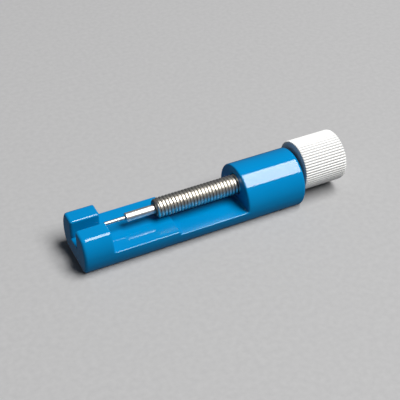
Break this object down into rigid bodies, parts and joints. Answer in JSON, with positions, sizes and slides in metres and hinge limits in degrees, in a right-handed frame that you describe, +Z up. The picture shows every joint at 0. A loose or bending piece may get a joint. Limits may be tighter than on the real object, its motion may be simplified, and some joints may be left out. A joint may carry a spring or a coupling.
{
  "type": "watch bracelet pin pusher",
  "caption": "Screw-driven pin pusher for watch bracelet links: slotted anvil, open stepped channel, threaded screw with a thin push pin, and a ribbed knob.",
  "frame": {"origin": "on the centre plane, on the flat underside, below the barrel's front face", "axes": "+X along the tool from the slotted anvil to the knob, parallel to the screw; +Z up, away from the flat underside; +Y across the tool"},
  "size_m": [0.0578, 0.0122, 0.0116],
  "materials": {
    "blue_plastic": "glossy moulded plastic",
    "nickel_plate": "bright nickel plate on a rolled thread",
    "turned_steel": "turned and polished",
    "pin_steel": "ground, hardened",
    "white_plastic": "satin moulded plastic"
  },
  "bodies": {
    "frame": {"frame_body": "blue_plastic"},
    "pusher": {"tip_holder": "turned_steel", "push_pin": "pin_steel"},
    "drive": {"drive_screw": "nickel_plate", "knob": "white_plastic"}
  },
  "joints": [
    {"name": "pin_feed", "type": "slide", "parent": "frame", "child": "pusher", "axis": [1, 0, 0], "range_m": [-0.0004, 0.017]},
    {"name": "knob_turn", "type": "hinge", "parent": "pusher", "child": "drive", "pos_m": [0, 0, 0.00635], "axis": [1, 0, 0], "range_deg": [-206, 8743]}
  ],
  "couplings": [
    {"joint": "knob_turn", "follows": "pin_feed", "rad_per_m": 8976}
  ]
}
